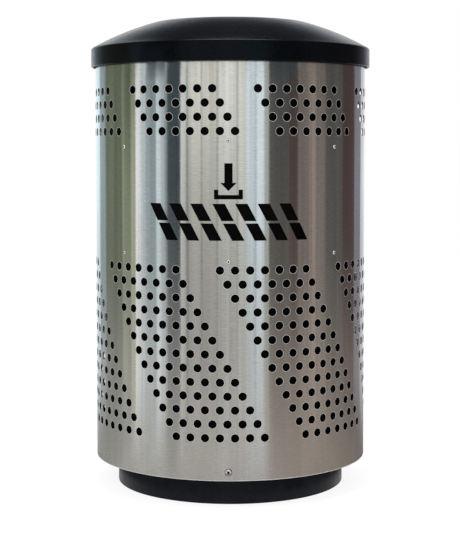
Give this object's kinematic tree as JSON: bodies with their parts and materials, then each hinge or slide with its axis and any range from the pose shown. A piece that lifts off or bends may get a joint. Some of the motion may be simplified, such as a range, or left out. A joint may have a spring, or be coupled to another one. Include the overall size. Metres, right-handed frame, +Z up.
{
  "type": "dome top waste receptacle",
  "caption": "Round floor-standing waste receptacle: a perforated stainless shell on a recessed black plinth, a lift-out liner and a loose black dome top with a round throw-in opening.",
  "frame": {"origin": "on the floor, under the centre of the round plinth", "axes": "+Z up along the shell's axis, -Y out of the side with the sign, +X to the right of someone who faces the sign"},
  "size_m": [0.6286, 0.6286, 1.0383],
  "materials": {
    "brushed_steel": "brushed round the shell, satin",
    "rivet_steel": "bright",
    "bolt_steel": "bright",
    "zinc_plate": "zinc plated",
    "black_coat": "fine textured powder coat, black",
    "black_base": "smooth satin powder coat, black",
    "liner_plastic": "moulded, matt black"
  },
  "bodies": {
    "receptacle": {"outer_shell": "brushed_steel", "sign_panel": "black_coat", "sign_rivet_1": "rivet_steel", "sign_rivet_2": "rivet_steel", "sign_rivet_3": "rivet_steel", "sign_rivet_4": "rivet_steel", "sign_rivet_5": "rivet_steel", "sign_rivet_6": "rivet_steel", "base_pan": "black_base", "plinth_ring": "black_base", "shell_bolt_1": "bolt_steel", "shell_bolt_2": "bolt_steel", "shell_bolt_3": "bolt_steel", "shell_nut_1": "zinc_plate", "shell_nut_2": "zinc_plate", "shell_nut_3": "zinc_plate", "plinth_bolt_1": "zinc_plate", "plinth_bolt_2": "zinc_plate", "plinth_bolt_3": "zinc_plate", "plinth_bolt_4": "zinc_plate", "plinth_nut_1": "zinc_plate", "plinth_nut_2": "zinc_plate", "plinth_nut_3": "zinc_plate", "plinth_nut_4": "zinc_plate"},
    "lid": {"dome_top": "black_coat", "lid_seat_ring": "black_coat"},
    "liner": {"liner": "liner_plastic"}
  },
  "joints": [
    {"name": "lid_lift", "type": "slide", "parent": "receptacle", "child": "lid", "axis": [0, 0, 1], "range_m": [0, 0.25]},
    {"name": "liner_lift", "type": "slide", "parent": "receptacle", "child": "liner", "axis": [0, 0, 1], "range_m": [0, 0.045]}
  ]
}
